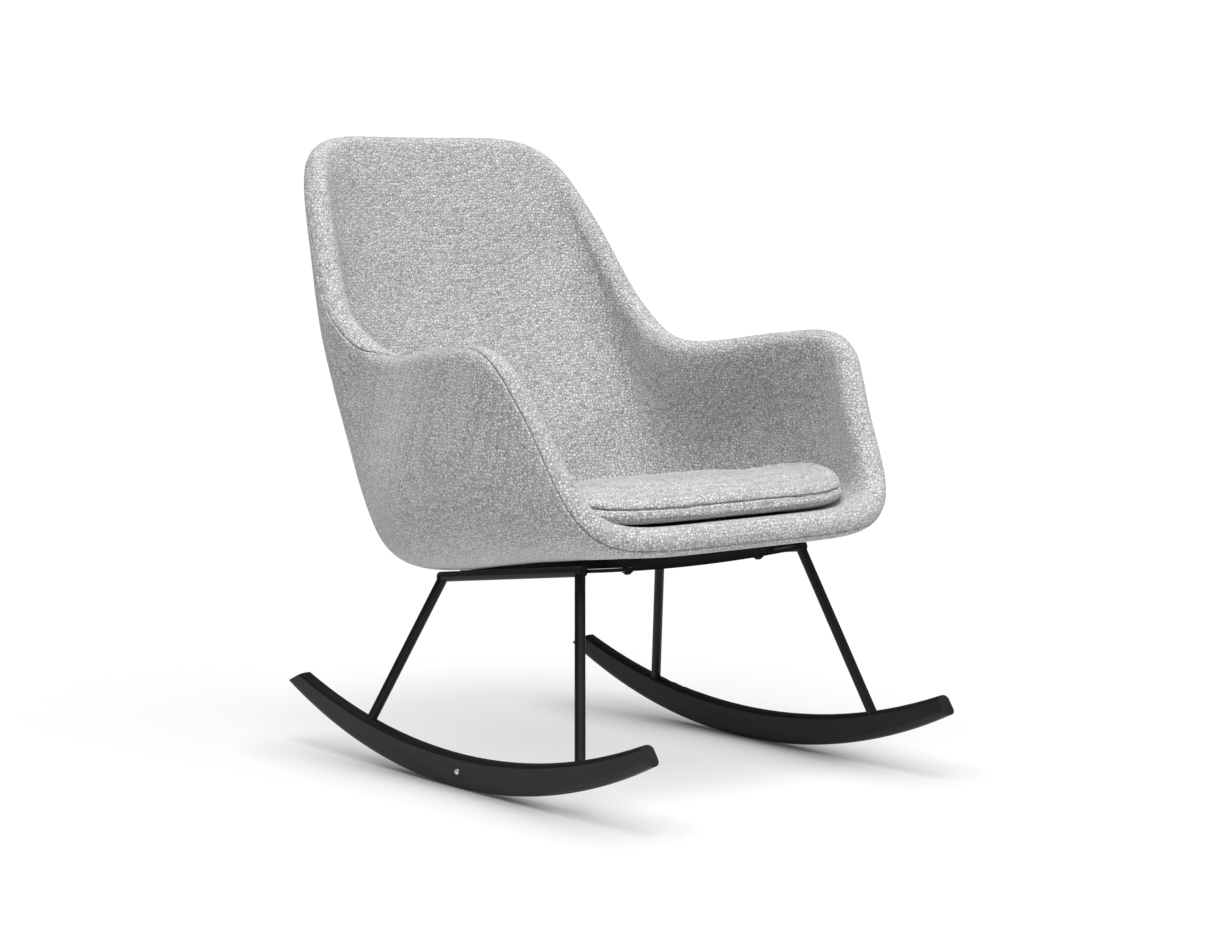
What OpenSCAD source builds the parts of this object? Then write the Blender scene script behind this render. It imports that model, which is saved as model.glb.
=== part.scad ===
// Rocking armchair: one moulded bucket shell, padded and covered in two fabric panels, on a bent
// steel underframe with four slender legs that stand in two curved wooden rockers. A loose seat
// pad lies on the seat. Millimetres, +Z up, the front of the chair faces -Y.

/* [Rockers] */
// Radius of the running edge
run_r = 952; // [800:1:1200]
// Radius of the upper edge
upper_r = 1107; // [900:1:1400]
// Height of the rocker at its middle
rocker_h = 46; // [30:1:60]
// How far behind the middle the upper edge is centred
upper_shift = -8; // [-20:1:20]
// How far behind the middle the running edge is centred
run_shift = -8; // [-20:1:20]
// Width of the rocker
rocker_w = 21; // [14:1:32]
// Half the distance between the two rockers
rocker_x = 270; // [200:1:320]
// Where the rockers touch the floor, forward of the middle of the chair
touch_y = -24.5; // [-40:0.1:40]
// Rounding of the long edges
edge_r = 9; // [1:0.5:9]
// Front end cut, lower corner [y, z] from the touching line
front_low = [-423, 91]; // [-500:1:500]
// Front end cut, upper corner
front_top = [-402, 121]; // [-500:1:500]
// Rear end cut, lower corner
rear_low = [404, 90]; // [-500:1:500]
// Rear end cut, upper corner
rear_top = [362, 109]; // [-500:1:500]
// Length of the short flat the chair rests on
rest_flat = 60; // [0:1:60]

/* [Legs and underframe] */
// Leg rod diameter
leg_d = 14.5; // [8:0.5:20]
// Front leg foot on the rocker [x, y, z]
front_foot = [268.5, -271, 74.5]; // [-400:1:400]
// Front leg head at the seat frame [x, y, z]
front_head = [202, -190, 311]; // [-400:1:400]
// Rear leg foot on the rocker [x, y, z]
rear_foot = [268.5, 200, 62.4]; // [-400:1:400]
// Rear leg head at the seat frame [x, y, z]
rear_head = [202, 114, 271.5]; // [-400:1:400]
// Width of the two bowed cross bars
bar_w = 20; // [12:1:30]
// Thickness of the cross bars
bar_t = 5; // [3:0.5:8]
// How far the cross bars bow down in the middle
bar_bow = 7; // [0:0.5:12]
// Thickness of the base pan under the seat
pan_t = 2.5; // [1.5:0.5:5]
// Side distance of the shell screws
screw_x = 120; // [60:1:170]

/* [Shell sections, front to back: middle y, middle z, edge x, edge y, edge z, squareness] */
// Front lip
lip = [-310, 358, 274, -216, 596, 7.0]; // [-400:1:900]
// Seat
seat = [-98, 331, 313, -168, 620, 6.1]; // [-400:1:900]
// Rear of the seat
seat_rear = [105, 298, 309, -29, 588, 5.3]; // [-400:1:900]
// Bend between seat and back
bend = [237, 299, 270, 140, 569, 3.6]; // [-400:1:900]
// Lower back
lumbar = [299, 460, 273, 259, 627, 2.4]; // [-400:1:900]
// Upper back
upper = [364, 651, 250, 336, 751, 2.0]; // [-400:1:900]
// Top edge
top_edge = [450, 874, 220, 404, 886, 2.0]; // [-400:1:900]

/* [Upholstery] */
// Half the thickness of the rolled rim
rim_r = 20; // [12:1:26]
// Padding surface of back and arms, from the middle of the rim
panel_in = -7; // [-8:1:20]
// Cover thickness
cover_t = 1.5; // [1:0.1:3]
// Outer padding thickness
outer_pad = 3; // [2:0.5:8]
// Core thickness in the back and arms
core_t = 2; // [2:0.5:8]
// Extra core thickness under the seat
seat_core = 11; // [0:0.5:14]
// Gap between layers
gap = 0.3; // [0.2:0.1:0.6]

/* [Seat pad] */
// Thickness of the pad at its edge seam, below the seam
pad_low = 21; // [10:1:30]
// Height of the pad's shoulder above the seam
pad_high = 19; // [8:1:30]
// Extra height in the middle of the pad
pad_crown = 22; // [0:1:30]
// How closely the pad follows the seat's curve across, 0 flat to 1
pad_follow = 0.87; // [0:0.01:1]
// Panel thickness
panel_t = 1.5; // [1:0.1:3]

/* [Hidden] */
$fn = 48;

sections = [lip, seat, seat_rear, bend, lumbar, upper, top_edge];
leg_r = leg_d / 2;
// the frame plane: rises to the front
frame_tilt = -atan((front_head[2] - rear_head[2]) / (rear_head[1] - front_head[1]));
frame_mid = [0, (front_head[1] + rear_head[1]) / 2, (front_head[2] + rear_head[2]) / 2];
frame_half = norm([rear_head[1] - front_head[1], front_head[2] - rear_head[2]]) / 2;
upward = [0, -sin(frame_tilt), cos(frame_tilt)];
bow_r = (pow(front_head[0], 2) + pow(bar_bow, 2)) / (2 * bar_bow);

// ---------- shell surface ----------
function ease(x, a, b) = let (k = min(max((x - a) / (b - a), 0), 1)) k * k * (3 - 2 * k);
function knot(i) = let (n = len(sections))
    i < 0 ? 2 * sections[0] - sections[1]
    : i >= n ? 2 * sections[n - 1] - sections[n - 2] : sections[i];
// section at t along the chair, 0 front lip to 1 top edge
function section(t) = let (x = t * (len(sections) - 1),
        i = min(max(floor(x), 0), len(sections) - 2), f = x - i,
        p0 = knot(i - 1), p1 = knot(i), p2 = knot(i + 1), p3 = knot(i + 2))
    0.5 * (2 * p1 + (p2 - p0) * f + (2 * p0 - 5 * p1 + 4 * p2 - p3) * f * f
        + (3 * p1 - p0 - 3 * p2 + p3) * f * f * f);
// point at w across the chair, -1 left edge to 1 right edge
function spot(w, t) = let (q = section(t), a = abs(w) * 90,
        k = pow(pow(sin(a), q[5]) + pow(max(cos(a), 0), q[5]), -1 / q[5]),
        x = sin(a) * k, h = 1 - max(cos(a), 0) * k)
    [sign(w) * q[2] * x, q[0] + (q[3] - q[0]) * h, q[1] + (q[4] - q[1]) * h];
function unit(v) = v / norm(v);
// normal towards the sitter
function lean(w, t) = let (e = 0.004, u = min(max(w, -1 + 2 * e), 1 - 2 * e), s = min(max(t, e), 1 - e))
    unit(cross(spot(u + e, s) - spot(u - e, s), spot(u, s + e) - spot(u, s - e)));

// round domains in the sheet: [middle t, half w, half t forward, half t back, power front,
// power back, points around]
whole = [0.47, 1, 0.47, 0.53, 3.1, 4.7, 64];
pan = [0.235, 0.345, 0.157, 0.155, 5, 5, 32];
seat_pad = [0.215, 0.512, 0.208, 0.185, 3.9, 4.0, 60];
function place(d, a, r) = let (c = cos(a), s = sin(a), p = s > 0 ? d[5] : d[4],
        k = pow(pow(abs(c), p) + pow(abs(s), p), -1 / p))
    [r * c * k * d[1], d[0] + r * s * k * (s > 0 ? d[3] : d[2])];

function seat_zone(w, t) = (1 - ease(t, 0.36, 0.50)) * (1 - ease(abs(w), 0.30, 0.50));
// padded surface towards the sitter, from the middle sheet
function inside(w, t, r) = rim_r - (rim_r - panel_in) * (1 - seat_zone(w, t)) * (1 - ease(r, 0.66, 1));
core_low = -rim_r + cover_t + outer_pad + 2 * gap;
function core_top(w, t, r) = core_low + core_t + seat_core * seat_zone(w, t) * (1 - ease(r, 0.72, 0.92));

// the seat pad's base follows the seat but lies a little flatter across
function level(w, t) = let (p = spot(w, t), c = spot(0, t)) [p[0], p[1], c[2] + pad_follow * (p[2] - c[2])];

// one ring of points: kind 0 sits at height h over the sheet, 1 and 2 follow the padded surface
// and the core top, 3 goes round the rim at radius h and angle g, 4 stands h above the seat
function height(kind, h, w, t, r) = kind == 1 ? inside(w, t, r) + h
    : kind == 2 ? core_top(w, t, r) + h : h;
function rim_out(d, a) = let (e = 2, p = place(d, a - e, 1), q = place(d, a + e, 1), m = place(d, a, 1),
        n = lean(m[0], m[1]), v = unit(cross(spot(q[0], q[1]) - spot(p[0], p[1]), n)),
        b = place(d, a, 0.97)) v * (v * (spot(m[0], m[1]) - spot(b[0], b[1])) > 0 ? 1 : -1);
// the seam between the two covers runs outside the rim, higher along the front lip, and climbs
// onto the rim behind the arms
function seam(a) = let (s = a > 270 ? a - 360 : a > 90 ? 180 - a : a)
    160 - 46 * (1 - max(ease(s, 3, 13), ease(-s, 24, 44))) - 30 * (1 - ease(s + 90, 20, 34));
function ring(d, kind, r, h, g) = [for (i = [0 : d[6] - 1])
    let (a = 360 * i / d[6], m = place(d, a, r), w = m[0], t = m[1],
        ang = g < 0 ? seam(a) * -g : 180 + (seam(a) + 2 - 180) * (g - 1))
    (kind == 4 ? level(w, t) : spot(w, t)) + (kind < 3 ? lean(w, t) * height(kind, h, w, t, r)
        : kind == 4 ? lean(0.0001, t) * pad_rest + upward * h
        : lean(w, t) * h * cos(ang) + rim_out(d, a) * h * sin(ang)) + [0, touch_y, 0]];
function pole(d, kind, h) = spot(0, d[0]) + lean(0.0001, d[0])
        * (kind == 4 ? pad_rest : height(kind, h, 0, d[0], 0)) + (kind == 4 ? upward * h : [0, 0, 0])
    + [0, touch_y, 0];

// a closed skin through a list of rings, starting and ending at a pole. Rows before turn run
// outwards and the rest run back in; facets are split alike on both, and alike left and right
module skin(d, first, rows, last, turn) {
    n = len(rows); m = d[6];
    polyhedron(concat([pole(d, first[0], first[1])],
            [for (q = rows) each ring(d, q[0], q[1], q[2], q[3])], [pole(d, last[0], last[1])]),
        concat([for (i = [0 : m - 1]) [0, 1 + (i + 1) % m, 1 + i]],
        [for (j = [0 : n - 2], i = [0 : m - 1]) let (a = 1 + j * m + i, k = 1 + j * m + (i + 1) % m,
                flip = (j >= turn) != (i >= m / 4 && i < 3 * m / 4))
            each (flip ? [[a, k, a + m], [k, k + m, a + m]] : [[a, k, k + m], [a, k + m, a + m]])],
        [for (i = [0 : m - 1]) let (a = 1 + (n - 1) * m) [1 + n * m, a + i, a + (i + 1) % m]]),
        convexity = 8);
}
out_r = [0.1, 0.24, 0.36, 0.44, 0.51, 0.58, 0.66, 0.76, 0.86, 0.94, 0.978];
roll = [0.0001, 0.2, 0.4, 0.6, 0.8, 1];
nr = len(out_r);
function rev(v) = [for (i = [len(v) - 1 : -1 : 0]) v[i]];

// ---------- helpers ----------
module right_and_left() { children(); mirror([1, 0, 0]) children(); }
module rod(p, q, r, before = 0, after = 0) {
    v = q - p;
    translate(p + [0, touch_y, 0]) rotate([0, acos(v[2] / norm(v)), atan2(v[1], v[0])])
        translate([0, 0, -before]) cylinder(h = norm(v) + before + after, r = r);
}
module in_frame() { translate(frame_mid + [0, touch_y, 0]) rotate([frame_tilt, 0, 0]) children(); }
module at_screws() { for (x = [-1, 1], y = [-1, 1])
    translate([x * screw_x, y * frame_half, -bar_bow * (1 - pow(screw_x / front_head[0], 2))]) {
        $rise = lift(y);
        children();
    } }
module screw_bores(r) { in_frame() at_screws() translate([0, 0, -20]) cylinder(h = 80, r = r); }
// the seat stands higher over the front bar
function lift(y) = y < 0 ? 3.5 : 0;

// ---------- rockers ----------
flat_z = pow(rest_flat / 2, 2) / (2 * run_r);
module disc(r, extra = 0) {
    rotate([0, 90, 0]) rotate_extrude($fn = 180) difference() {
        translate([0, -rocker_w / 2]) square([r, rocker_w]);
        for (s = [-1, 1]) translate([r - edge_r, s * (rocker_w / 2 - edge_r)]) difference() {
            translate([0, s > 0 ? 0 : -edge_r - 1]) square([edge_r + 1, edge_r + 1]);
            circle(r = edge_r);
        }
    }
}
// the wheel whose rim cuts the hollow upper edge, flared to round that edge too
module hollow() {
    w = rocker_w / 2;
    rotate([0, 90, 0]) rotate_extrude($fn = 180) difference() {
        translate([0, -w - 2]) square([upper_r + edge_r, 2 * w + 4]);
        translate([upper_r, -w + edge_r - 0.6]) square([edge_r + 1, 2 * (w - edge_r + 0.6)]);
        for (s = [-1, 1]) translate([upper_r + edge_r, s * (w - edge_r + 0.6)]) circle(r = edge_r);
    }
}
module rocker(side) {
    difference() {
        intersection() {
            translate([side * rocker_x, touch_y + run_shift, run_r - flat_z]) disc(run_r);
            translate([side * rocker_x - rocker_w, touch_y, 0]) rotate([90, 0, 90]) linear_extrude(2 * rocker_w)
                polygon([2 * front_low - front_top, 2 * front_top - front_low, 2 * rear_top - rear_low,
                    2 * rear_low - rear_top, [rear_low[0], 0], [front_low[0], 0]]);
        }
        translate([side * rocker_x, touch_y + upper_shift, rocker_h + upper_r]) hollow();
        mirror([side < 0 ? 1 : 0, 0, 0]) {
            for (leg = [[front_foot, front_head], [rear_foot, rear_head]]) {
                rod(leg[0], leg[1], leg_r + 0.15, 0, 30);
                rod(leg[0], leg[1], 6.65, 20);
            }
            translate([rocker_x + rocker_w / 2, touch_y - 20, 24]) rotate([0, -90, 0]) cylinder(h = 14, r = 2.6);
        }
    }
}
module socket(foot, head) {
    difference() { rod(foot, foot + unit(head - foot), 6.6, 19.8, -0.8);
        rod(foot, head, 5.05, 20, 30); }
}
module leg_sockets() { color([0.62, 0.6, 0.56]) right_and_left() {
    socket(front_foot, front_head); socket(rear_foot, rear_head); } }
module rocker_screws() {
    color([0.75, 0.75, 0.76]) right_and_left()
        translate([rocker_x + rocker_w / 2, touch_y - 20, 24]) rotate([0, 90, 0]) difference() {
            union() { translate([0, 0, -13.5]) cylinder(h = 14.5, r = 2.5);
                rotate_extrude() polygon([[0, 0.02], [4.6, 0.02], [4.3, 1.2], [3.2, 2.1], [1.6, 2.5], [0, 2.6]]); }
            translate([0, 0, 1]) cylinder(h = 3, r = 1.5, $fn = 6);
        }
}
module rocker_left() { color([0.12, 0.12, 0.12]) rocker(-1); }
module rocker_right() { color([0.12, 0.12, 0.12]) rocker(1); }

// ---------- underframe ----------
module leg(foot, head, x) {
    color([0.06, 0.06, 0.07]) mirror([x < 0 ? 1 : 0, 0, 0]) difference() {
        union() { rod(foot + 0.3 * unit(head - foot), head, leg_r, 0, -0.05);
            rod(foot, foot + 10 * unit(head - foot), 5, 19, 0); }
        in_frame() translate([front_head[0], 0, 0]) rotate([90, 0, 0])
            cylinder(h = 2 * frame_half + 60, r = leg_r + 0.03, center = true);
    }
}
module leg_front_left() { leg(front_foot, front_head, -1); }
module leg_front_right() { leg(front_foot, front_head, 1); }
module leg_rear_left() { leg(rear_foot, rear_head, -1); }
module leg_rear_right() { leg(rear_foot, rear_head, 1); }
module side_rail(s) {
    color([0.06, 0.06, 0.07]) in_frame() translate([s * front_head[0], 0, 0]) rotate([90, 0, 0])
        cylinder(h = 2 * frame_half + 15, r = leg_r, center = true);
}
module side_rail_left() { side_rail(-1); }
module side_rail_right() { side_rail(1); }
module cross_bar(y) {
    color([0.06, 0.06, 0.07]) difference() {
        in_frame() translate([0, y + bar_w / 2, 0]) rotate([90, 0, 0]) linear_extrude(bar_w) intersection() {
            translate([0, bow_r - bar_bow]) difference() {
                circle(r = bow_r + bar_t / 2, $fn = 180); circle(r = bow_r - bar_t / 2, $fn = 180); }
            translate([-front_head[0], -20]) square([2 * front_head[0], 30]);
        }
        in_frame() for (s = [-1, 1]) translate([s * front_head[0], 0, 0]) rotate([90, 0, 0])
            cylinder(h = 2 * frame_half + 60, r = leg_r + 0.03, center = true);
        in_frame() for (s = [-1, 1]) translate([s * screw_x, y, -20]) cylinder(h = 40, r = 3.2);
        right_and_left() {
            rod(front_foot, front_head, leg_r + 0.05); rod(rear_foot, rear_head, leg_r + 0.05); }
    }
}
module front_bar() { cross_bar(-frame_half); }
module rear_bar() { cross_bar(frame_half); }
module spacers() {
    color([0.1, 0.1, 0.1]) in_frame() for (x = [-1, 1], y = [-1, 1]) difference() {
        translate([x * screw_x, y * frame_half, -1.6]) cylinder(h = y < 0 ? 8.9 : 2.7, r = 7);
        translate([x * screw_x, y * frame_half, -10]) cylinder(h = 40, r = 3.2);
    }
}
module base_pan() {
    top = -rim_r - 1.2; deep = -80;
    rr = [0.25, 0.5, 0.75, 0.92];
    color([0.05, 0.05, 0.055]) difference() {
        intersection() {
            skin(pan, [0, top], concat([for (r = rr) [0, r, top, 0]], [[0, 1, top, 0], [0, 1, deep, 0]],
                [for (r = rev(rr)) [0, r, deep, 0]]), [0, deep], 5);
            in_frame() translate([0, 0, bow_r - bar_bow]) rotate([90, 0, 0])
                cylinder(h = 700, r = bow_r - bar_t / 2 - 0.4, center = true, $fn = 360);
        }
        skin(pan, [0, top - pan_t], concat([for (r = rr) [0, r, top - pan_t, 0]],
            [[0, 0.985, top - pan_t, 0], [0, 0.985, deep - 9, 0]],
            [for (r = rev(rr)) [0, r, deep - 9, 0]]), [0, deep - 9], 5);
        screw_bores(3.3);
    }
}
module shell_screws() {
    color([0.15, 0.15, 0.15]) in_frame() at_screws() translate([0, 0, -bar_t / 2 - 1.9]) difference() {
        union() { cylinder(h = 29 + $rise, r = 3);
            rotate_extrude() polygon([[0, -2.8], [3, -2.6], [4.8, -1.6], [5.6, 0], [0, 0]]); }
        translate([0, 0, -4]) cylinder(h = 3, r = 2.3, $fn = 6);
    }
}
module screw_washers() {
    color([0.12, 0.12, 0.12]) in_frame() at_screws() translate([0, 0, -bar_t / 2 - 1.8]) difference() {
        cylinder(h = 1.4, r = 7.5); translate([0, 0, -1]) cylinder(h = 4, r = 3.2); }
}
module tee_nuts() {
    color([0.7, 0.7, 0.7]) in_frame() at_screws() translate([0, 0, 16.6 + $rise]) difference() {
        cylinder(h = 10, r = 4.2); translate([0, 0, -1]) cylinder(h = 12, r = 3.05); }
}

// ---------- upholstered shell ----------
module shell_core() {
    color([0.62, 0.52, 0.4]) difference() {
        skin(whole, [2, 0], concat([for (r = out_r) [2, r, 0, 0]],
            [for (r = rev(out_r)) [0, r, core_low, 0]]), [0, core_low], nr);
        screw_bores(4.4);
    }
}
module outer_padding() {
    top = core_low - gap; low = top - outer_pad;
    color([0.9, 0.85, 0.6]) difference() {
        skin(whole, [0, top], concat([for (r = out_r) [0, r, top, 0]],
            [for (r = rev(out_r)) [0, r, low, 0]]), [0, low], nr);
        screw_bores(4.4);
    }
}
module inner_padding() {
    rr = rim_r - cover_t - gap;
    color([0.95, 0.9, 0.65])
        skin(whole, [1, -cover_t - gap], concat([for (r = out_r) [1, r, -cover_t - gap, 0]],
            [for (g = roll) [3, 1, rr, -g]],
            [[3, 1, rr - 1.1, 1.5], [0, 1, 1.1 - rr, 0], [0, 0.984, 1.1 - rr, 0], [2, 0.984, gap, 0]],
            [for (r = rev(out_r)) [2, r, gap, 0]]), [2, gap], nr + 5);
}
module outer_cover() {
    color([0.72, 0.71, 0.71]) difference() {
        skin(whole, [0, -rim_r + cover_t], concat([for (r = out_r) [0, r, -rim_r + cover_t, 0]],
            [for (g = [1, 1.5, 2]) [3, 1, rim_r - cover_t, g]], [for (g = [2, 1.5, 1]) [3, 1, rim_r, g]],
            [for (r = rev(out_r)) [0, r, -rim_r, 0]]), [0, -rim_r], nr + 3);
        screw_bores(4.4);
    }
}
module inner_cover() {
    color([0.74, 0.73, 0.73])
        skin(whole, [1, 0], concat([for (r = out_r) [1, r, 0, 0]], [for (g = roll) [3, 1, rim_r, -g]],
            [for (g = rev(roll)) [3, 1, rim_r - cover_t, -g]],
            [for (r = rev(out_r)) [1, r, -cover_t, 0]]), [1, -cover_t], nr + 6);
}

// ---------- loose seat pad ----------
pad_rest = rim_r + 2.8;
pad_edge = 0.094;
pad_span = 220;
// one ring of the pad's section at edge angle b, drawn in by s millimetres
function pad_row(b, s) = [4, 1 - pad_edge + (pad_edge - s / pad_span) * cos(b),
    pad_low + (b > 0 ? (pad_high - s) : (pad_low - s)) * sin(b), 0];
function pad_top(r, s) = [4, r, pad_low + pad_high - s + pad_crown * (1 - pow(r / (1 - pad_edge), 3.5)), 0];
function pad_under(r, s) = [4, r, s, 0];
pad_r = [0.22, 0.44, 0.64, 0.80];
module pad_foam() {
    s = panel_t + gap;
    color([0.95, 0.9, 0.65]) skin(seat_pad, [4, pad_top(0, s)[2]], concat([for (r = pad_r) pad_top(r, s)],
        [for (b = [90, 60, 30, 0, -30, -60, -90]) pad_row(b, s)],
        [for (r = rev(pad_r)) pad_under(r, s)]), [4, pad_under(0, s)[2]], 4 + 3);
}
module pad_top_panel() {
    color([0.75, 0.74, 0.74]) skin(seat_pad, [4, pad_top(0, 0)[2]], concat([for (r = pad_r) pad_top(r, 0)],
        [for (b = [90, 60, 30, 1]) pad_row(b, 0)], [for (b = [1, 30, 60, 90]) pad_row(b, panel_t)],
        [for (r = rev(pad_r)) pad_top(r, panel_t)]), [4, pad_top(0, panel_t)[2]], 8);
}
module pad_bottom_panel() {
    color([0.7, 0.69, 0.69]) skin(seat_pad, [4, pad_under(0, panel_t)[2]], concat(
        [for (r = pad_r) pad_under(r, panel_t)], [for (b = [-90, -60, -30, -1]) pad_row(b, panel_t)],
        [for (b = [-1, -30, -60, -90]) pad_row(b, 0)], [for (r = rev(pad_r)) pad_under(r, 0)]),
        [4, pad_under(0, 0)[2]], 8);
}

rocker_left();
rocker_right();
leg_sockets();
rocker_screws();
leg_front_left();
leg_front_right();
leg_rear_left();
leg_rear_right();
side_rail_left();
side_rail_right();
front_bar();
rear_bar();
base_pan();
spacers();
shell_screws();
screw_washers();
tee_nuts();
shell_core();
outer_padding();
inner_padding();
outer_cover();
inner_cover();
pad_foam();
pad_top_panel();
pad_bottom_panel();
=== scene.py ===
import math

import bpy
import numpy as np
from mathutils import Matrix, Vector, noise
from mathutils.kdtree import KDTree


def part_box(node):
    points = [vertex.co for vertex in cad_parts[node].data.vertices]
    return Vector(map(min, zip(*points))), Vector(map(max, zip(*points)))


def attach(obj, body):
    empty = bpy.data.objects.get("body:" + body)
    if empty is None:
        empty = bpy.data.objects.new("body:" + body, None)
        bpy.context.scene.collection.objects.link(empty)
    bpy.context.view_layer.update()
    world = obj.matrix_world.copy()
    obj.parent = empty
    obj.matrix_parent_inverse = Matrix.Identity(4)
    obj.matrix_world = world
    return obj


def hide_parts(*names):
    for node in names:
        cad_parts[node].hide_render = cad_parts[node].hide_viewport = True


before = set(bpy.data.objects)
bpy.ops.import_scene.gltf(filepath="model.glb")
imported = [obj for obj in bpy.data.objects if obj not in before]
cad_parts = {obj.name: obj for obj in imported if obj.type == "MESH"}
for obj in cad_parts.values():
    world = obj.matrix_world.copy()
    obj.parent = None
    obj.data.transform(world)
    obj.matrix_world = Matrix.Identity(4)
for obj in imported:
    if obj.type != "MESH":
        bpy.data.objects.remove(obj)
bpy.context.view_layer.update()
scene = bpy.context.scene


# ---------------------------------------------------------------- camera
camera = bpy.data.objects.new("camera", bpy.data.cameras.new("camera"))
scene.collection.objects.link(camera)
turn, rise, far = math.radians(-40.0), math.radians(5.7), 3.968
aim = Vector((0, -0.0482, 0.429))
camera.location = aim + far * Vector((math.sin(turn) * math.cos(rise), -math.cos(turn) * math.cos(rise),
                                      math.sin(rise)))
camera.rotation_euler = (aim - camera.location).to_track_quat("-Z", "Y").to_euler()
camera.data.lens = 81.9
camera.data.sensor_width = 36
camera.data.clip_end = 60
scene.camera = camera


# ---------------------------------------------------------------- shell surface
# cross-sections of the bucket from the front lip to the top edge, in metres: middle y and z,
# edge x, y and z, and how square the section is. They are the ones the CAD shell is made from.
LIP = (-0.310, 0.358, 0.274, -0.216, 0.596, 7.0)
SEAT = (-0.098, 0.331, 0.313, -0.168, 0.620, 6.1)
SEAT_REAR = (0.105, 0.298, 0.309, -0.029, 0.588, 5.3)
BEND = (0.237, 0.299, 0.270, 0.140, 0.569, 3.6)
LUMBAR = (0.299, 0.460, 0.273, 0.259, 0.627, 2.4)
UPPER = (0.364, 0.651, 0.250, 0.336, 0.751, 2.0)
TOP_EDGE = (0.450, 0.874, 0.220, 0.404, 0.886, 2.0)
SECTIONS = np.array([LIP, SEAT, SEAT_REAR, BEND, LUMBAR, UPPER, TOP_EDGE])
KNOTS = np.vstack([2 * SECTIONS[0] - SECTIONS[1], SECTIONS, 2 * SECTIONS[-1] - SECTIONS[-2]])
RIM = 0.020            # radius of the rolled rim
PANEL = -0.007         # padded surface of the arms and lower back, from the middle sheet
UPPER_FILL = 0.012     # how much fuller the upper back is
CORNER_FILL = 0.005    # how much fuller the seat's side corners are, to stand clear of the core
SKIN_IN, SKIN_OUT = 0.0045, 0.003    # thickness of the two upholstery pieces
SKIN_RIM = 0.0052      # thickness of both round the rim
SEAM_GAP = 0.012       # half the gap between the two pieces at the seam, in radians round the rim


def ease(x, a, b):
    """Smooth step from 0 at a to 1 at b."""
    k = np.clip((x - a) / (b - a), 0, 1)
    return k * k * (3 - 2 * k)


def unit(v):
    return v / np.maximum(np.linalg.norm(v, axis=-1, keepdims=True), 1e-12)


def section(t):
    """Cross-section at t, by a smooth curve through the given ones."""
    x = t * (len(SECTIONS) - 1)
    i = np.clip(np.floor(x).astype(int), 0, len(SECTIONS) - 2)
    f = (x - i)[..., None]
    p0, p1, p2, p3 = KNOTS[i], KNOTS[i + 1], KNOTS[i + 2], KNOTS[i + 3]
    return 0.5 * (2 * p1 + (p2 - p0) * f + (2 * p0 - 5 * p1 + 4 * p2 - p3) * f ** 2
                  + (3 * p1 - p0 - 3 * p2 + p3) * f ** 3)


def spot(w, t):
    """Point of the middle sheet: w from -1 to 1 across, t from 0 at the lip to 1 at the top edge."""
    q = section(t)
    a = np.radians(np.abs(w) * 90)
    s, c, n = np.sin(a), np.maximum(np.cos(a), 0), q[..., 5]
    k = (s ** n + c ** n) ** (-1 / n)
    h = 1 - c * k
    return np.stack([np.sign(w) * q[..., 2] * s * k, q[..., 0] + (q[..., 3] - q[..., 0]) * h,
                     q[..., 1] + (q[..., 4] - q[..., 1]) * h], -1)


def lean(w, t):
    """Normal of the sheet, towards the sitter."""
    e = 0.004
    u, s = np.clip(w, -1 + 2 * e, 1 - 2 * e), np.clip(t, e, 1 - e)
    return unit(np.cross(spot(u + e, s) - spot(u - e, s), spot(u, s + e) - spot(u, s - e)))


# rounded areas of the sheet: middle t, half width in w, reach in t forwards and backwards, and how
# square the front and the back corners are
WHOLE = (0.47, 1, 0.47, 0.53, 3.1, 4.7)
SEAT_PAD = (0.215, 0.522, 0.212, 0.185, 3.9, 4.0)


def place(domain, a, r):
    """Angle and share of the radius in a rounded area, to w and t."""
    c, s = np.cos(a), np.sin(a)
    p = np.where(s > 0, domain[5], domain[4])
    k = (np.abs(c) ** p + np.abs(s) ** p) ** (-1 / p)
    return r * c * k * domain[1], domain[0] + r * s * k * np.where(s > 0, domain[3], domain[2])


def inside(w, t, r):
    """Height of the padded inner surface over the middle sheet: full under the pad and at the rim."""
    zone = (1 - ease(t, 0.36, 0.50)) * (1 - ease(np.abs(w), 0.30, 0.50))
    corner = np.exp(-((np.abs(w) - 0.50) / 0.09) ** 2 - ((t - 0.195) / 0.07) ** 2)
    panel = PANEL + UPPER_FILL * ease(t, 0.50, 0.75)
    return RIM - (RIM - panel) * (1 - zone) * (1 - ease(r, 0.66, 1)) + CORNER_FILL * corner


def rim_frame(domain, a):
    """At the rim, the point, the normal and the direction straight out of the sheet."""
    e = math.radians(2)
    (w0, t0), (w1, t1) = place(domain, a - e, 1), place(domain, a + e, 1)
    w, t = place(domain, a, 1)
    n = lean(w, t)
    v = unit(np.cross(spot(w1, t1) - spot(w0, t0), n))
    inner = spot(*place(domain, a, 0.97))
    flip = np.sign(np.sum(v * (spot(w, t) - inner), -1, keepdims=True))
    return spot(w, t), n, v * flip


def seam_angle(a):
    """How far round the rim the seam between the covers lies, in radians."""
    deg = np.degrees(a) % 360
    s = np.where(deg > 270, deg - 360, np.where(deg > 90, 180 - deg, deg))
    # s runs from -90 at the middle of the front to 90 at the middle of the back. The seam lies far
    # round the outside, but comes up along the tops of the arms and at the front lip
    crest = 1 - np.maximum(ease(s, 3, 13), ease(-s, 24, 44))
    lip = 1 - ease(s + 90, 20, 34)
    return np.radians(160 - 46 * crest - 30 * lip)


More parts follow.
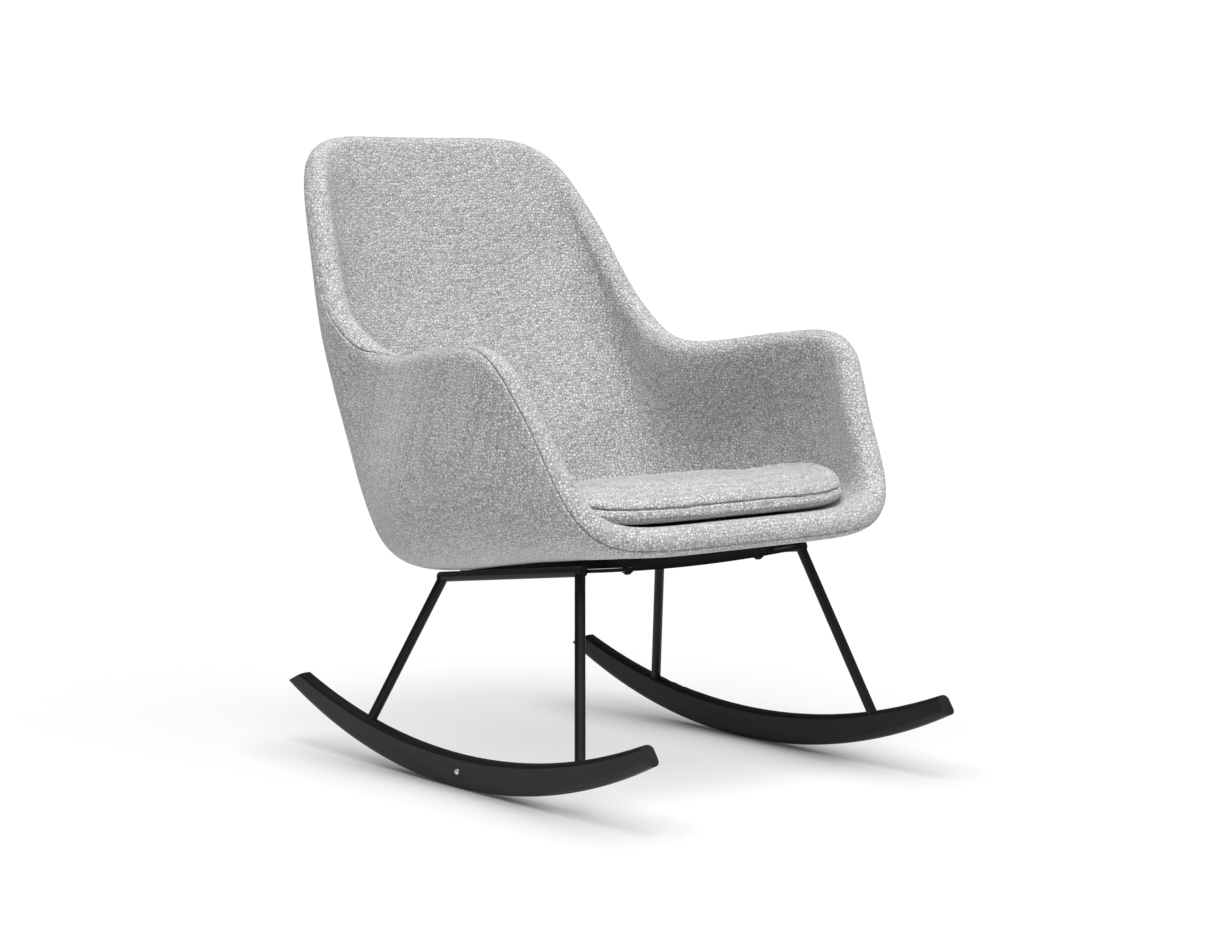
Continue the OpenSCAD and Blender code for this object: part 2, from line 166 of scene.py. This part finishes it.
def shell_mesh(name, rings, first, last):
    """A closed skin through rings of points, from one pole to the other."""
    n, m = len(rings), len(rings[0])
    points = np.vstack([first[None]] + list(rings) + [last[None]])
    faces = [(0, 1 + i, 1 + (i + 1) % m) for i in range(m)]
    for j in range(n - 1):
        for i in range(m):
            a, k = 1 + j * m + i, 1 + j * m + (i + 1) % m
            faces.append((a, a + m, k + m, k))
    end = 1 + (n - 1) * m
    faces += [(1 + n * m, end + (i + 1) % m, end + i) for i in range(m)]
    mesh = bpy.data.meshes.new(name)
    mesh.from_pydata(points.tolist(), [], faces)
    mesh.polygons.foreach_set("use_smooth", [True] * len(mesh.polygons))
    mesh.update()
    piece = bpy.data.objects.new(name, mesh)
    scene.collection.objects.link(piece)
    return piece


AROUND = 440
angles = np.linspace(0, 2 * math.pi, AROUND, endpoint=False)
edge_point, edge_normal, edge_out = rim_frame(WHOLE, angles)
seam = seam_angle(angles)
# length along the rim, for puckers with an even pitch
along = np.concatenate([[0], np.cumsum(np.linalg.norm(np.diff(edge_point, axis=0), axis=1))])


def flat_ring(r, height):
    """Ring over the sheet; the height over it is a number or a function of w, t and r."""
    w, t = place(WHOLE, angles, r)
    h = height(w, t, r) if callable(height) else height
    return spot(w, t) + lean(w, t) * (np.asarray(h)[..., None] if callable(height) else h)


def roll_ring(radius, angle):
    """Ring round the rolled rim; radius and angle may change along it."""
    radius, angle = np.broadcast_to(radius, angles.shape), np.broadcast_to(angle, angles.shape)
    return (edge_point + edge_normal * (radius * np.cos(angle))[:, None]
            + edge_out * (radius * np.sin(angle))[:, None])


def pucker(depth, phase):
    """Small gathers along a seam, uneven in size."""
    out = []
    for s in along:
        swell = 0.55 + 0.45 * noise.noise((s * 21, phase, 3.1))
        out.append(depth * swell * noise.noise((s * 95, phase, 0.7)))
    return np.array(out)


def groove(distance, depth=0.0038, width=0.0030):
    """How far the cloth turns in at a given distance from the seam line."""
    x = np.clip(distance / width, 0, 1)
    return depth * (1 - np.sqrt(1 - (1 - x) ** 2))


def soft_swell(points, normals, size, depth, seed):
    """Slow unevenness of padding under a cover."""
    apart = Vector((seed, 0, 0))
    move = [depth * noise.fractal(Vector(p) / size + apart, 0.9, 2.1, 3) for p in points.tolist()]
    return points + normals * np.array(move)[:, None]


# shares of the radius at which rings lie, closer together near the rim and coarse for hidden sides
spread = np.concatenate([np.linspace(0.012, 0.80, 66), np.linspace(0.80, 1, 26)[1:]])
hidden = [0.985, 0.94, 0.86, 0.76, 0.66, 0.54, 0.4, 0.25, 0.1]
gather_in, gather_out = pucker(0.0011, 1.0), pucker(0.0011, 7.0)


def inner_cover():
    """Padded inside of the bucket with the rolled rim, down to the seam."""
    rings = []
    for r in spread:
        w, t = place(WHOLE, angles, r)
        n = lean(w, t)
        p = spot(w, t) + n * inside(w, t, r)[:, None]
        calm = 1 - ease(r, 0.9, 1.0)
        rings.append(soft_swell(p, n, 0.085, 0.0013 * calm, 0.0) if calm > 0 else p)
    steps = 26
    for i in range(1, steps + 1):
        share = 1 - (1 - i / steps) ** 1.6
        angle = (seam - SEAM_GAP) * share
        left = (seam - angle) * RIM
        near = np.exp(-left / 0.007)
        rings.append(roll_ring(RIM - groove(left) + gather_in * near, angle))
    back = [roll_ring(RIM - SKIN_RIM, (seam - SEAM_GAP) * s) for s in (1, 0.8, 0.6, 0.4, 0.2, 0.02)]
    back += [flat_ring(r, lambda w, t, r: inside(w, t, r) - SKIN_IN) for r in hidden]
    w, t = place(WHOLE, np.zeros(1), 0.0)
    n = lean(w + 1e-6, t)
    top = (spot(w, t) + n * inside(w, t, 0.0)[:, None])[0]
    low = (spot(w, t) + n * (inside(w, t, 0.0)[:, None] - SKIN_IN))[0]
    return shell_mesh("inner_upholstery", rings + back, top, low)


def outer_cover():
    """Outside of the bucket, from the seam round the back and underneath."""
    rings = [flat_ring(r, -RIM + SKIN_OUT) for r in hidden[::-1]]
    rings += [roll_ring(RIM - SKIN_RIM, np.pi + (seam + SEAM_GAP - np.pi) * s) for s in (0, 0.5, 1)]
    steps = 18
    for i in range(steps, -1, -1):
        share = 1 - (1 - i / steps) ** 1.6
        angle = np.pi + (seam + SEAM_GAP - np.pi) * share
        left = (angle - seam) * RIM
        near = np.exp(-left / 0.007)
        rings.append(roll_ring(RIM - groove(left) + gather_out * near, angle))
    for r in spread[::-1][1:]:
        w, t = place(WHOLE, angles, r)
        n = lean(w, t)
        p = spot(w, t) - n * RIM
        calm = 1 - ease(r, 0.9, 1.0)
        rings.append(soft_swell(p, n, 0.10, 0.0007 * calm, 5.0) if calm > 0 else p)
    w, t = place(WHOLE, np.zeros(1), 0.0)
    n = lean(w + 1e-6, t)
    top = (spot(w, t) - n * (RIM - SKIN_OUT))[0]
    low = (spot(w, t) - n * RIM)[0]
    return shell_mesh("outer_upholstery", rings, top, low)


inner = inner_cover()
outer = outer_cover()

# the CAD shell says where along Y the bucket stands
lo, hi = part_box("inner_cover")
co = np.array([v.co for v in inner.data.vertices])
shift = ((lo.y + hi.y) - (co[:, 1].min() + co[:, 1].max())) / 2
for piece in (inner, outer):
    piece.data.transform(Matrix.Translation((0, shift, 0)))


# ---------------------------------------------------------------- materials
class Nodes:
    """Short names for making a node network."""

    def __init__(self, name):
        self.material = bpy.data.materials.new(name)
        self.material.use_nodes = True
        self.tree = self.material.node_tree
        self.shader = self.tree.nodes["Principled BSDF"]
        self.place = self.add("ShaderNodeTexCoord").outputs["Object"]

    def add(self, kind, **settings):
        node = self.tree.nodes.new(kind)
        for key, value in settings.items():
            setattr(node, key, value)
        return node

    def put(self, socket, value):
        if isinstance(value, bpy.types.NodeSocket):
            self.tree.links.new(value, socket)
        else:
            socket.default_value = value

    def math(self, op, a, b=0.0, c=0.0):
        node = self.add("ShaderNodeMath", operation=op)
        for socket, value in zip(node.inputs, (a, b, c)):
            self.put(socket, value)
        return node.outputs[0]

    def vector(self, op, a, b=(0, 0, 0)):
        node = self.add("ShaderNodeVectorMath", operation=op)
        self.put(node.inputs[0], a)
        self.put(node.inputs[1], b)
        return node.outputs[0]

    def noise(self, vector, scale, detail=3.0, rough=0.55, distortion=0.0):
        node = self.add("ShaderNodeTexNoise")
        self.put(node.inputs["Vector"], vector)
        wanted = {"Scale": scale, "Detail": detail, "Roughness": rough, "Distortion": distortion}
        for key, value in wanted.items():
            node.inputs[key].default_value = value
        return node.outputs

    def cells(self, vector, scale, feature="F1", random=1.0):
        node = self.add("ShaderNodeTexVoronoi", feature=feature)
        self.put(node.inputs["Vector"], vector)
        node.inputs["Scale"].default_value = scale
        node.inputs["Randomness"].default_value = random
        return node.outputs

    def ramp(self, value, stops, smooth=False):
        node = self.add("ShaderNodeValToRGB")
        self.put(node.inputs[0], value)
        if smooth:
            node.color_ramp.interpolation = "EASE"
        marks = node.color_ramp.elements
        while len(marks) < len(stops):
            marks.new(0.5)
        for mark, (at, colour) in zip(marks, stops):
            mark.position = at
            mark.color = (*colour, 1)
        return node.outputs[0]

    def range(self, value, a, b, c, d):
        node = self.add("ShaderNodeMapRange")
        for socket, v in zip(node.inputs, (value, a, b, c, d)):
            self.put(socket, v)
        return node.outputs[0]

    def mix(self, share, a, b, blend="MIX"):
        node = self.add("ShaderNodeMix", data_type="RGBA", blend_type=blend)
        self.put(node.inputs[0], share)
        self.put(node.inputs[6], a if isinstance(a, bpy.types.NodeSocket) else (*a, 1))
        self.put(node.inputs[7], b if isinstance(b, bpy.types.NodeSocket) else (*b, 1))
        return node.outputs[2]

    def bump(self, height, distance, strength=1.0, under=None):
        node = self.add("ShaderNodeBump")
        self.put(node.inputs["Height"], height)
        node.inputs["Distance"].default_value = distance
        node.inputs["Strength"].default_value = strength
        if under is not None:
            self.put(node.inputs["Normal"], under)
        return node.outputs[0]

    def set(self, **values):
        names = {"color": "Base Color", "rough": "Roughness", "metal": "Metallic", "normal": "Normal",
                 "coat": "Coat Weight", "coat_rough": "Coat Roughness", "sheen": "Sheen Weight",
                 "sheen_rough": "Sheen Roughness", "specular": "Specular IOR Level"}
        for key, value in values.items():
            self.put(self.shader.inputs[names[key]], value)
        return self.material


def boucle():
    """Light grey looped wool: rounded loops of a few millimetres in pale and taupe yarn."""
    m = Nodes("grey_boucle")
    wobble = m.noise(m.place, 160, 2.0)["Color"]
    drift = m.vector("MULTIPLY", m.vector("SUBTRACT", wobble, (0.5, 0.5, 0.5)), (0.0035, 0.0035, 0.0035))
    where = m.vector("ADD", m.place, drift)
    loops = m.cells(where, 225, random=0.75)
    gaps = m.cells(where, 225, "DISTANCE_TO_EDGE", 0.75)["Distance"]
    small = m.cells(where, 650)
    loop_top = m.range(loops["Distance"], 0.0, 0.75, 1.0, 0.0)
    small_top = m.range(small["Distance"], 0.0, 0.75, 1.0, 0.0)
    pick = m.add("ShaderNodeSeparateColor")
    m.put(pick.inputs[0], loops["Color"])
    pick2 = m.add("ShaderNodeSeparateColor")
    m.put(pick2.inputs[0], small["Color"])
    yarn = m.math("ADD", m.math("MULTIPLY", pick.outputs[0], 0.38),
                  m.math("MULTIPLY", pick2.outputs[0], 0.62))
    fuzz = m.noise(m.place, 900, 2.0)["Fac"]
    colour = m.ramp(m.math("ADD", yarn, m.math("MULTIPLY", m.math("SUBTRACT", fuzz, 0.5), 0.35)),
                    [(0.14, (0.55, 0.53, 0.52)), (0.34, (0.74, 0.73, 0.73)), (0.58, (0.87, 0.865, 0.868)),
                     (0.86, (0.97, 0.97, 0.975))])
    # painted shade and highlight: the colour is darkened in the gaps between the loops and lightened on the
    # tops of the small loops
    painted_loop_shade = m.math("MULTIPLY", m.range(gaps, 0.02, 0.26, 0.50, 1.06),
                   m.range(small_top, 0.3, 0.9, 0.80, 1.08))
    broad = m.range(m.noise(m.place, 9, 3.0)["Fac"], 0.3, 0.7, 0.96, 1.03)
    # yarn colour times the painted loop shade and a slow random tone
    tone = m.add("ShaderNodeVectorMath", operation="SCALE")
    m.put(tone.inputs[0], colour)
    m.put(tone.inputs[3], m.math("MULTIPLY", painted_loop_shade, broad))
    height = m.math("ADD", m.math("MULTIPLY", loop_top, 0.75),
                    m.math("ADD", m.math("MULTIPLY", small_top, 0.35), m.math("MULTIPLY", fuzz, 0.12)))
    return m.set(color=tone.outputs[0], rough=m.range(fuzz, 0.3, 0.7, 0.82, 0.95),
                 normal=m.bump(height, 0.0016, 0.8), sheen=0.35, sheen_rough=0.45, specular=0.25)


def lacquered_wood():
    """Black lacquer on bent wood: the grain follows the rocker's curve and shows faintly."""
    m = Nodes("black_lacquered_wood")
    foot, radius = -0.0325, 0.952    # the rocker's arc: y of its lowest point, and its radius
    split = m.add("ShaderNodeSeparateXYZ")
    m.put(split.inputs[0], m.place)
    y = m.math("SUBTRACT", split.outputs[1], foot)
    z = m.math("SUBTRACT", radius, split.outputs[2])
    turn_at = m.math("ARCTAN2", y, z)
    out = m.math("SQRT", m.math("ADD", m.math("MULTIPLY", y, y), m.math("MULTIPLY", z, z)))
    bent = m.add("ShaderNodeCombineXYZ")
    m.put(bent.inputs[0], m.math("MULTIPLY", split.outputs[0], 1.0))
    m.put(bent.inputs[1], m.math("MULTIPLY", turn_at, 0.03))
    m.put(bent.inputs[2], out)
    grain = m.noise(bent.outputs[0], 420, 4.0, 0.6, 0.4)["Fac"]
    streak = m.noise(bent.outputs[0], 110, 3.0, 0.5)["Fac"]
    colour = m.mix(m.range(streak, 0.35, 0.7, 0.0, 1.0), (0.0050, 0.0050, 0.0052), (0.0088, 0.0088, 0.0090))
    height = m.math("ADD", m.math("MULTIPLY", grain, 0.6), m.math("MULTIPLY", streak, 0.4))
    speck = m.noise(m.place, 1500, 2.0)["Fac"]
    relief = m.bump(speck, 0.00012, 0.3, m.bump(height, 0.00035, 0.5))
    return m.set(color=colour, rough=m.range(grain, 0.3, 0.7, 0.36, 0.52), normal=relief,
                 coat=0.04, coat_rough=0.4, specular=0.25)


def powder_coat():
    """Satin black powder coat with its fine orange-peel."""
    m = Nodes("black_powder_coat")
    peel = m.noise(m.place, 650, 2.0, 0.5)["Fac"]
    tone = m.noise(m.place, 14, 3.0)["Fac"]
    colour = m.mix(m.range(tone, 0.35, 0.65, 0.0, 1.0), (0.0055, 0.0055, 0.006), (0.0085, 0.0085, 0.009))
    return m.set(color=colour, rough=m.range(peel, 0.3, 0.7, 0.34, 0.46),
                 normal=m.bump(peel, 0.00015, 0.4), specular=0.25)


def zinc_steel():
    """Zinc-plated screws: turned steel, a little dull."""
    m = Nodes("zinc_plated_steel")
    ring = m.noise(m.vector("MULTIPLY", m.place, (3, 1, 1)), 900, 3.0)["Fac"]
    colour = m.mix(m.range(ring, 0.3, 0.7, 0.0, 1.0), (0.66, 0.65, 0.63), (0.78, 0.775, 0.76))
    return m.set(color=colour, metal=1.0, rough=m.range(ring, 0.3, 0.7, 0.22, 0.38),
                 normal=m.bump(ring, 0.0001, 0.3))


def moulded_board():
    """Pressed fibreboard of the hidden core."""
    m = Nodes("moulded_board")
    fibre = m.noise(m.vector("MULTIPLY", m.place, (1, 1, 5)), 120, 4.0)["Fac"]
    colour = m.mix(m.range(fibre, 0.3, 0.7, 0.0, 1.0), (0.30, 0.20, 0.11), (0.45, 0.33, 0.20))
    return m.set(color=colour, rough=m.range(fibre, 0.3, 0.7, 0.55, 0.75), normal=m.bump(fibre, 0.0004, 0.5))


cloth, wood, coat, steel, board = boucle(), lacquered_wood(), powder_coat(), zinc_steel(), moulded_board()
finish_of = {"rocker_left": wood, "rocker_right": wood, "leg_sockets": steel, "rocker_screws": steel,
             "tee_nuts": steel, "shell_core": board}
for name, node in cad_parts.items():
    node.data.materials.clear()
    node.data.materials.append(finish_of.get(name, coat))

stands_for = ((inner, ("inner_cover", "inner_padding")), (outer, ("outer_cover", "outer_padding")))
for piece, nodes in stands_for:
    piece.data.materials.append(cloth)
    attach(piece, "chair")
    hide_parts(*nodes)


# ---------------------------------------------------------------- seat pad
REST = 0.0228          # underside of the pad over the middle sheet
LOW, HIGH = 0.021, 0.019    # height of the seam over the underside, and of the edge's top over the seam
CROWN = 0.022          # how much higher the middle of the top is than its edge
EDGE = 0.094           # share of the radius that the rounded edge takes
FOLLOW = 0.87          # how closely the pad follows the seat's rise to the sides
SPAN = 0.220           # about half the pad's width
SHRINK = 0.0015        # how much smaller the pad is before it is blown up
FLAT_RINGS = 33        # rings of the top or of the underside
CLOTH_FRAMES = 20      # length of the cloth run
lo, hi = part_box("front_bar")
lo_r, hi_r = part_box("rear_bar")
slope = math.atan2((lo.z + hi.z - lo_r.z - hi_r.z) / 2, (lo_r.y + hi_r.y - lo.y - hi.y) / 2)
upward = np.array([0, math.sin(slope), math.cos(slope)])
PAD_AROUND = 300
# angles over the seam at which the rings of the edge lie, closer together near the seam
SIDE = [90, 82, 74, 66, 58, 50, 42, 35, 29, 24, 20, 16, 13, 10, 7.5, 5, 3, 1.5]
pad_angles = np.linspace(0, 2 * math.pi, PAD_AROUND, endpoint=False)


def pad_ring(r, h):
    """Ring of the pad at a share of its radius, h over its underside."""
    w, t = place(SEAT_PAD, pad_angles, r)
    p, c = spot(w, t), spot(0 * w, t)
    p[:, 2] = c[:, 2] + FOLLOW * (p[:, 2] - c[:, 2])
    return p + lean(0 * w + 1e-6, t) * REST + upward * h + np.array([0, shift, 0])


def pad_middle(h):
    """Point at the middle of the pad, h over its underside."""
    w, t = np.full(1, 1e-5), np.full(1, SEAT_PAD[0])
    return (spot(w, t) + lean(w, t) * REST + upward * h)[0] + np.array([0, shift, 0])


def pad_rings(shrink):
    """Rings from the middle of the top over the edge to the middle of the underside."""
    flat = np.linspace(0.03, 1 - EDGE, FLAT_RINGS + 1)[:-1]
    top = [pad_ring(r, LOW + HIGH - shrink + CROWN * (1 - (r / (1 - EDGE)) ** 3.5)) for r in flat]
    side = []
    for b in np.radians(SIDE + [0] + [-b for b in SIDE[::-1]]):
        rise_b = (HIGH - shrink if b > 0 else LOW - shrink) * math.sin(b)
        out_b = max(math.cos(b), 0) ** 0.6
        side.append(pad_ring(1 - EDGE + (EDGE - shrink / SPAN) * out_b, LOW + rise_b))
    under = [pad_ring(r, shrink) for r in flat[::-1]]
    return top + side + under


pad = shell_mesh("seat_pad", pad_rings(SHRINK), pad_middle(LOW + HIGH + CROWN - SHRINK), pad_middle(SHRINK))
pad_points = np.array([v.co for v in pad.data.vertices])
seam_line = pad_ring(1 - SHRINK / SPAN, LOW)


def lookup(points):
    """Finds the nearest of some points."""
    tree = KDTree(len(points))
    for i, p in enumerate(points):
        tree.insert(p, i)
    tree.balance()
    return tree


def swell_by_cloth(piece, cap):
    """Blows the piece up a little as cloth, and returns how far its own points moved."""
    source = np.array([v.co for v in piece.data.vertices])
    bag = bpy.data.objects.new("cloth_run", piece.data.copy())
    scene.collection.objects.link(bag)
    remesh = bag.modifiers.new("remesh", "REMESH")
    remesh.mode, remesh.voxel_size = "VOXEL", 0.0055
    graph = bpy.context.evaluated_depsgraph_get()
    fine = bpy.data.meshes.new_from_object(bag.evaluated_get(graph))
    bag.modifiers.clear()
    bag.data = fine
    start = np.array([v.co for v in fine.vertices])
    # the underside rests on the seat, so it is pinned there
    base = lookup(source)
    rings_over_it = FLAT_RINGS + len(SIDE) + 1 + 10
    first_under = 1 + rings_over_it * PAD_AROUND
    held = bag.vertex_groups.new(name="held")
    for i, p in enumerate(start):
        if base.find(p)[1] >= first_under:
            held.add([i], 1.0, "REPLACE")
    cloth_run = bag.modifiers.new("cloth", "CLOTH")
    settings = cloth_run.settings
    settings.quality = 6
    settings.mass = 0.25
    settings.use_pressure = True
    settings.uniform_pressure_force = 4.0
    settings.tension_stiffness = settings.compression_stiffness = 18
    settings.shear_stiffness = 8
    settings.bending_stiffness = 1.2
    settings.effector_weights.gravity = 0
    settings.vertex_group_mass = "held"
    cloth_run.collision_settings.use_collision = False
    for number in range(1, CLOTH_FRAMES + 1):
        scene.frame_set(number)
    graph = bpy.context.evaluated_depsgraph_get()
    moved = np.array([v.co for v in bag.evaluated_get(graph).data.vertices]) - start
    size = np.linalg.norm(moved, axis=1, keepdims=True)
    moved *= np.minimum(1, cap / np.maximum(size, 1e-9))
    near = lookup(start)
    carried = np.zeros_like(source)
    for i, p in enumerate(source):
        found = near.find_n(p, 6)
        weight = np.array([1 / (d + 0.0015) ** 2 for _, _, d in found])
        carried[i] = (moved[[k for _, k, _ in found]] * weight[:, None]).sum(0) / weight.sum()
    bpy.data.objects.remove(bag)
    scene.frame_set(1)
    return carried


pad_move = swell_by_cloth(pad, 0.005)
pad.data.update()
normals = np.array([v.normal for v in pad.data.vertices])
line = lookup(seam_line)
pad_along = np.concatenate([[0], np.cumsum(np.linalg.norm(np.diff(seam_line, axis=0), axis=1))])
final = pad_points + pad_move
for i, p in enumerate(pad_points):
    _, k, gap = line.find(p)
    fold = noise.noise((pad_along[k] * 80, 2.0, 0.4)) * 0.0016 * math.exp(-gap / 0.010)
    tuck = 0.0032 * math.exp(-(gap / 0.0016) ** 2)
    dent = 0.0012 * noise.fractal(Vector(p) / 0.05, 0.9, 2.1, 3) * (1 if normals[i] @ upward > -0.3 else 0.2)
    final[i] += normals[i] * (fold - tuck + dent)
pad.data.vertices.foreach_set("co", final.ravel())
pad.data.update()
pad.data.materials.append(cloth)
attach(pad, "seat_pad")
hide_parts("pad_foam", "pad_top_panel", "pad_bottom_panel")


# ---------------------------------------------------------------- floor and light
floor = bpy.data.objects.new("floor", bpy.data.meshes.new("floor"))
corners = [(-1.35, -1.3, 0), (1.3, -1.3, 0), (1.3, 2.0, 0), (-1.35, 2.0, 0)]
floor.data.from_pydata(corners, [], [(0, 1, 2, 3)])
scene.collection.objects.link(floor)
pale = Nodes("pale_floor")
mist = pale.noise(pale.place, 3, 3.0)["Fac"]
pale_tone = pale.mix(mist, (0.27, 0.27, 0.272), (0.29, 0.29, 0.292))
floor.data.materials.append(pale.set(color=pale_tone, rough=0.7, normal=pale.bump(mist, 0.001, 0.2),
                                     specular=0.2))
# painted contact shadow: the floor glows to stay white, and ambient occlusion dims that glow close under the
# rockers
near = pale.add("ShaderNodeAmbientOcclusion", samples=12)
near.inputs["Distance"].default_value = 0.13
pale.shader.inputs["Emission Color"].default_value = (1, 1, 1, 1)
# the glow falls from 0.66 to 0.05 where ambient occlusion is low, a painted shadow under the rockers
pale.put(pale.shader.inputs["Emission Strength"], pale.range(near.outputs["AO"], 0.5, 1.0, 0.05, 0.66))

scene.view_settings.view_transform = "Standard"
world = bpy.data.worlds.new("world")
scene.world = world
world.use_nodes = True
tree = world.node_tree
# the camera sees pure white, while the chair gets only a little light from all round
back = tree.nodes["Background"]
seen = tree.nodes.new("ShaderNodeBackground")
seen.inputs[0].default_value = (1, 1, 1, 1)
seen.inputs[1].default_value = 1.05
back.inputs[0].default_value = (1, 1, 1, 1)
back.inputs[1].default_value = 0.12
path = tree.nodes.new("ShaderNodeLightPath")
join = tree.nodes.new("ShaderNodeMixShader")
tree.links.new(path.outputs["Is Camera Ray"], join.inputs[0])
tree.links.new(back.outputs[0], join.inputs[1])
tree.links.new(seen.outputs[0], join.inputs[2])
tree.links.new(join.outputs[0], tree.nodes["World Output"].inputs[0])


def sun(name, azimuth, elevation, strength, angle):
    """A soft sun; azimuth is the side it shines from, 0 from the front and 90 from the sitter's left."""
    light = bpy.data.objects.new(name, bpy.data.lights.new(name, "SUN"))
    light.data.energy = strength
    light.data.angle = math.radians(angle)
    a, e = math.radians(azimuth), math.radians(elevation)
    away = Vector((math.sin(a) * math.cos(e), -math.cos(a) * math.cos(e), math.sin(e)))
    light.rotation_euler = away.to_track_quat("Z", "Y").to_euler()
    scene.collection.objects.link(light)


sun("top", -30, 76, 1.45, 20)
sun("key", 20, 48, 1.3, 50)
sun("fill", -64, 60, 1.7, 40)
